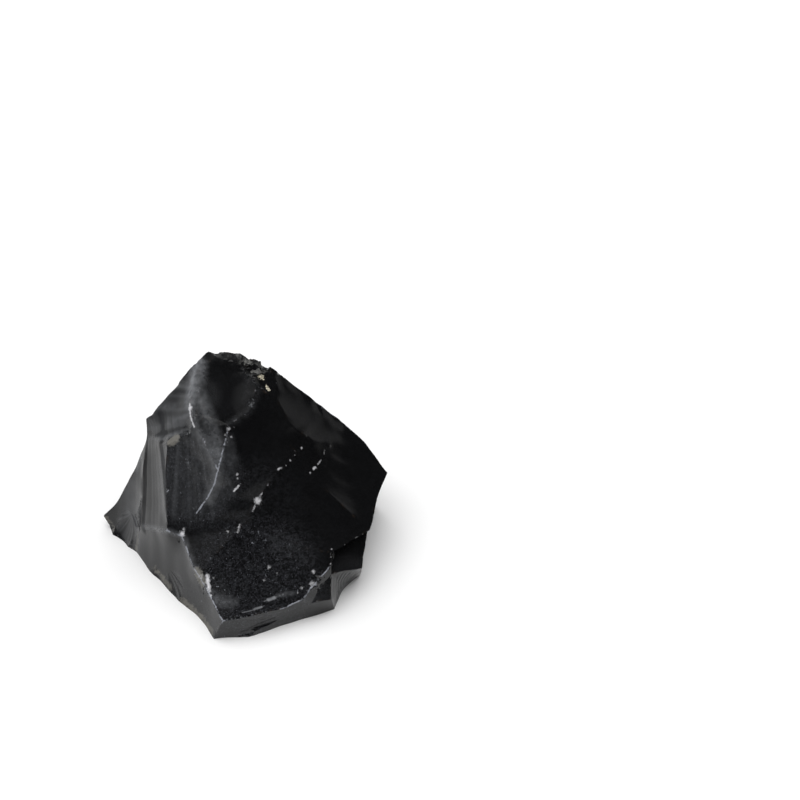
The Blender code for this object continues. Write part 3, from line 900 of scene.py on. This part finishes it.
# %% [markdown]
# ## Writing a material as sums
# A Wire stands for one socket of the node tree. Adding or multiplying wires adds the Math nodes, so a
# mask can be written as it would be on paper.

# %% Wires
class Wire:
    def __init__(self, socket):
        self.socket = socket

    def math(self, operation, first, second):
        bench = Bench(self.socket.id_data)
        return bench.node("ShaderNodeMath", {"operation": operation}, {0: first, 1: second})

    def __add__(self, other):
        return self.math("ADD", self, other)

    def __sub__(self, other):
        return self.math("SUBTRACT", self, other)

    def __mul__(self, other):
        return self.math("MULTIPLY", self, other)

    def __pow__(self, other):
        return self.math("POWER", self, other)

    def __rsub__(self, other):
        return self.math("SUBTRACT", other, self)

    __radd__ = __add__
    __rmul__ = __mul__


# %% [markdown]
# The Bench adds every other kind of node. It takes the node's type, its settings, and the values or
# wires of its sockets. A few kinds are used so often that they have a short name of their own.

# %% The bench
class Bench:
    def __init__(self, tree):
        self.tree = tree

    def put(self, value, socket):
        if isinstance(value, Wire):
            self.tree.links.new(value.socket, socket)
        else:
            socket.default_value = value

    def node(self, kind, settings, sockets, output=0):
        made = self.tree.nodes.new(kind)
        for name, value in settings.items():
            setattr(made, name, value)
        for name, value in sockets.items():
            self.put(value, made.inputs[name])
        return Wire(made.outputs[output])

    def fade(self, value, low, high):
        """0 below low, 1 above high, and smooth in between."""
        return self.node(
            "ShaderNodeMapRange",
            {"interpolation_type": "SMOOTHSTEP"},
            {"Value": value, "From Min": low, "From Max": high},
        )

    def mix(self, share, first, second):
        return self.node("ShaderNodeMix", {"data_type": "RGBA"}, {0: share, 6: first, 7: second}, 2)

    def value(self, name):
        return self.node("ShaderNodeAttribute", {"attribute_name": name}, {}, "Fac")

    def noise(self, place, scale, detail, output="Fac"):
        return self.node(
            "ShaderNodeTexNoise", {}, {"Vector": place, "Scale": scale, "Detail": detail}, output
        )


# %% [markdown]
# ## Dusty black glass
# The glass itself is nearly black and clear-edged: where it is thin, at an arris, a little brown light
# comes through. Everything lighter lies on top of it: a film on the handled faces, ribs torn matt,
# specks of dust, grey haze with a few painted reflections, white crushed spots and two painted
# highlights. Less film at the toe is painted shade. Each layer is a colour and a mask.

# %% Colours and the shader
GLASS_IOR = 1.5
BLACK = (0.0016, 0.0016, 0.0018, 1)
BROWN = (0.016, 0.010, 0.006, 1)
GREY = (0.30, 0.31, 0.33, 1)
BLUE_GREY = (0.42, 0.44, 0.50, 1)
WHITE = (0.72, 0.72, 0.75, 1)
# CREAM is the colour of the painted highlights beside the knob
CREAM = (0.80, 0.74, 0.58, 1)
BEIGE = (0.40, 0.38, 0.33, 1)
STONE = (0.40, 0.40, 0.38, 1)
material = bpy.data.materials.new("obsidian")
material.use_nodes = True
shader = material.node_tree.nodes["Principled BSDF"]
shader.inputs["IOR"].default_value = GLASS_IOR
bench = Bench(material.node_tree)
metres = bench.node("ShaderNodeTexCoord", {}, {}, "Object")
place = bench.node("ShaderNodeVectorMath", {"operation": "SCALE"}, {0: metres, "Scale": 1 / MM})
print("glass with a refractive index of", GLASS_IOR)

# %% [markdown]
# A mask says where a layer lies: 0 where it is missing, 1 where it is whole. The marks give its place and
# noise frays its border, because powder, wear and dust never end in a clean line. The noises are
# measured in millimetres, so they keep their size on the stone.

# %% Masks of the marks
edge, haze, wear, pit = (bench.value(name) for name in ("edge", "haze", "wear", "pit"))
painted_glint, nick, stripe = (bench.value(name) for name in ("painted_glint", "nick", "stripe"))
scuff, crumb = (bench.value(name) for name in ("scuff", "crumb"))
film_and_shade, dust, torn = (bench.value(name) for name in ("film_and_shade", "dust", "torn"))

clouds = bench.noise(place, 0.30, 3.0)
broken = bench.noise(place, 0.75, 2.0)
grain = bench.noise(place, 1.1, 5.0)
shard = bench.noise(place, 2.2, 2.5)
grit = bench.noise(place, 2.6, 5.0)

crushed = bench.fade(pit + 1.6 * (shard - 0.5) + 0.4 * (grit - 0.5), 0.35, 0.95)
# painted highlights: the cream glints beside the knob, frayed by noise
painted_glint_mask = bench.fade(painted_glint + 1.6 * (grit - 0.5), 0.50, 0.70)
arris = bench.fade(0.40 * grit - edge, 0.0, 0.12)
worn = arris * bench.fade(wear + 1.6 * (broken - 0.5) + 0.6 * (grit - 0.5), 0.45, 0.95)
nibbled = nick * bench.fade(grit, 0.46, 0.62)
# grey haze, and among the haze lines the painted reflections on the rim and in the bowl
veil_and_reflection = haze * (0.45 + 0.55 * bench.fade(grain, 0.30, 0.70))
light_rib = bench.fade(stripe, -0.10, 0.30)
matt_rib = bench.fade(stripe, -0.10, -0.50)
rubbed = bench.fade(scuff + 1.4 * (grain - 0.5) + 0.8 * (grit - 0.5), 0.35, 1.1)
lot = bench.node("ShaderNodeTexVoronoi", {}, {"Vector": place, "Scale": 1.1}, "Color")
number = bench.node("ShaderNodeSeparateColor", {}, {"Color": lot}, "Red")
rubble = crumb * bench.fade(number, 0.35, 1.0)
print("nodes so far", len(material.node_tree.nodes))

# %% [markdown]
# Dust lies in specks of three sizes, the small ones in great number, over a faint mottle. A pattern of
# scattered cells gives each speck its own place and size. A slow noise pushes the cells about first, so
# that the specks gather in some places and thin out in others.

# %% Masks of the dust
def specks(bench, place, spacing, widest, share, dust):
    """Round specks, one in some of the cells of a scattered pattern, more where dust is thick."""
    cells = {"Vector": place, "Scale": 1 / spacing}
    away = bench.node("ShaderNodeTexVoronoi", {}, cells, "Distance")
    lot = bench.node("ShaderNodeTexVoronoi", {}, cells, "Color")
    number = bench.node("ShaderNodeSeparateColor", {}, {"Color": lot}, "Red")
    shine = bench.node("ShaderNodeSeparateColor", {}, {"Color": lot}, "Green")
    size = (number - (1 - share * dust)) * (widest / spacing / share)
    return bench.fade(size - away, 0.0, 0.06 / spacing) * (0.3 + 0.9 * shine)


sway = bench.noise(place, 0.45, 2.0, "Color")
strewn = bench.node(
    "ShaderNodeVectorMath", {"operation": "MULTIPLY_ADD"}, {0: sway, 1: (6, 6, 6), 2: place}
)
dots = specks(bench, strewn, 2.9, 0.30, 0.5, dust)
flecks = specks(bench, strewn, 1.0, 0.20, 0.6, dust)
fine = specks(bench, strewn, 0.42, 0.16, 0.9, dust)
mottle = bench.fade(0.4 * grain + 0.6 * grit, 0.38, 0.68) * dust
print("nodes so far", len(material.node_tree.nodes))

# %% [markdown]
# The layers go on from the glass outwards, each one by its mask and its strength: first the brown of thin
# arrises, then film, haze, dust and wear, and the white powder and the painted cream highlights last. Clean
# glass is smooth, and every layer makes it rougher. Powder and the painted highlights stand out a hair,
# which the bump shows.

# %% Layers, gloss and relief
colour = bench.mix(bench.fade(edge, 0.6, 0.0) * bench.fade(broken, 0.5, 0.8), BLACK, BROWN)
# the film layer also carries the painted shade at the toe
film_and_shade_layer = film_and_shade * (0.02 + 0.05 * clouds) + torn * 0.05 + light_rib * (0.03 + 0.10 * torn)
for mask, paint in (
    (film_and_shade_layer, GREY),
    (mottle * 0.045, BLUE_GREY),
    (veil_and_reflection * 0.40, GREY),
    (fine * 0.17, BLUE_GREY),
    (flecks * 0.28, BLUE_GREY),
    (dots * 0.60, BLUE_GREY),
    (nibbled * 0.25 * (1 - crumb), GREY),
    (rubbed * 0.30, BEIGE),
    (rubble * (0.15 + 0.27 * bench.fade(grit, 0.40, 0.60)), STONE),
    (worn * 0.60, BLUE_GREY),
    (crushed * bench.fade(pit, 0.1, 1.45), WHITE),
    # painted highlights in cream, last of all
    (painted_glint_mask * (0.55 + 0.45 * bench.fade(grit, 0.45, 0.60)), CREAM),
):
    colour = bench.mix(mask, colour, paint)
bench.put(colour, shader.inputs["Base Color"])

rough = 0.08 + 0.10 * clouds + 0.35 * torn + 0.5 * matt_rib + 0.35 * veil_and_reflection
rough = rough + 0.4 * (crushed + worn + dots + rubbed + rubble)
bench.put(rough, shader.inputs["Roughness"])

height = 0.06 * crushed * grit + 0.008 * grain + 0.05 * painted_glint_mask * grit
raised = {"Strength": 1.0, "Distance": MM, "Height": height}
bench.put(bench.node("ShaderNodeBump", {}, raised, "Normal"), shader.inputs["Normal"])
chunk.data.materials.append(material)
print("nodes in the material:", len(material.node_tree.nodes))

# %% [markdown]
# ## Setting
# A black mirror shows whatever is around it. A wide white floor without any gloss gives the light grey
# that the lower faces reflect, and takes a soft shadow. It reaches so far that its end never shows.

# %% Floor
FLOOR = 6.0  # from its middle to each side, in metres
PALE = (0.92, 0.92, 0.92, 1)


def floor_material():
    made = bpy.data.materials.new("paper")
    made.use_nodes = True
    paint = made.node_tree.nodes["Principled BSDF"]
    paint.inputs["Base Color"].default_value = PALE
    paint.inputs["Roughness"].default_value = 0.9
    paint.inputs["Specular IOR Level"].default_value = 0.0
    return made


floor_mesh = bpy.data.meshes.new("floor")
corners = [(-FLOOR, -FLOOR, 0), (FLOOR, -FLOOR, 0), (FLOOR, FLOOR, 0), (-FLOOR, FLOOR, 0)]
floor_mesh.from_pydata(corners, [], [(0, 1, 2, 3)])
floor = bpy.data.objects.new("floor", floor_mesh)
bpy.context.scene.collection.objects.link(floor)
floor_mesh.materials.append(floor_material())
print("floor, m:", 2 * FLOOR)

# %% [markdown]
# One wide, high light gives the soft shadow. It stays out of the reflections, because a bright disc in
# black glass would hide the form.

# %% The lamp
def direction_of(azimuth, elevation):
    """Towards a place in the sky, azimuth counted from the front towards the right, in degrees."""
    a, e = math.radians(azimuth), math.radians(elevation)
    return (math.sin(a) * math.cos(e), -math.cos(a) * math.cos(e), math.sin(e))


def sun(name, azimuth, elevation, strength, spread):
    light = bpy.data.lights.new(name, "SUN")
    light.energy = strength
    light.angle = math.radians(spread)
    made = bpy.data.objects.new(name, light)
    bpy.context.scene.collection.objects.link(made)
    toward = Vector(direction_of(azimuth, elevation))
    made.rotation_euler = toward.to_track_quat("Z", "Y").to_euler()
    made.visible_glossy = False
    return made


sun("soft_top", azimuth=205, elevation=80, strength=3.6, spread=100)
print("lamps", len(bpy.data.lights))

# %% [markdown]
# The glass shows the world around it: a pale band low at the horizon, brighter on the left, and three
# soft glows, each of which lights up one face and leaves its neighbour dark. Everywhere else the world
# is nearly black, and that is why the faces that look up stay black.

# %% The world
world = bpy.data.worlds.new("studio")
bpy.context.scene.world = world
world.use_nodes = True
bench = Bench(world.node_tree)
direction = bench.node("ShaderNodeTexCoord", {}, {}, "Generated")
toward = {axis: bench.node("ShaderNodeSeparateXYZ", {}, {"Vector": direction}, axis) for axis in "XZ"}
# azimuth, elevation, spread, strength
GLOWS = [
    (-100, 50, 34, 0.22),
    (128, 9, 16, 0.18),
    (3, 20, 15, 0.12),
]


def glow(azimuth, elevation, spread, strength):
    """A soft round patch of light."""
    middle = direction_of(azimuth, elevation)
    near_it = bench.node(
        "ShaderNodeVectorMath", {"operation": "DOT_PRODUCT"}, {0: direction, 1: middle}, "Value"
    )
    return bench.fade(near_it, math.cos(math.radians(spread)), 1.0) * strength


left = bench.fade(toward["X"], 0.3, -0.8)
right = bench.fade(toward["X"], 0.0, 0.7)
low = bench.fade(toward["Z"], 0.26, 0.0)
NIGHT = 0.012  # what is left high above
HORIZON, MORE_LEFT, LESS_RIGHT = 0.65, 0.4, 0.6
band = low * (HORIZON + MORE_LEFT * left - LESS_RIGHT * right)
strength = NIGHT + band + sum(glow(*each) for each in GLOWS)
sky = world.node_tree.nodes["Background"]
sky.inputs["Color"].default_value = (1.0, 1.0, 1.0, 1)
bench.put(strength, sky.inputs["Strength"])
print("glows", len(GLOWS))

# %% [markdown]
# The camera looks down at the chunk with a long lens, from so far that a millimetre of stone is five
# pixels wide. The chunk sits left of the middle and low in the picture.

# %% Camera
ELEVATION = math.radians(38)
FOCAL_LENGTH = 100.0
SENSOR = 36.0
PICTURE = 800
MM_PER_PIXEL = 0.2
CHUNK_MIDDLE = np.array([5.8, 24.5, 17.0])
# how far the middle of the picture is from the chunk's middle, in pixels to the right and up
ASIDE, ABOVE = 154, 97
camera_data = bpy.data.cameras.new("camera")
camera_data.lens = FOCAL_LENGTH
camera_data.sensor_width = SENSOR
camera_data.clip_start = 0.01
camera = bpy.data.objects.new("camera", camera_data)
bpy.context.scene.collection.objects.link(camera)
look = np.array([0, math.cos(ELEVATION), -math.sin(ELEVATION)])
up = np.array([0, math.sin(ELEVATION), math.cos(ELEVATION)])
target = CHUNK_MIDDLE + MM_PER_PIXEL * (ASIDE * np.array([1, 0, 0]) + ABOVE * up)
distance = FOCAL_LENGTH / SENSOR * PICTURE * MM_PER_PIXEL
camera.location = (target - distance * look - TOE) * MM
camera.rotation_euler = (math.pi / 2 - ELEVATION, 0, 0)
bpy.context.scene.camera = camera
bpy.context.scene.view_settings.view_transform = "Standard"
print("camera distance, mm:", round(distance, 1))
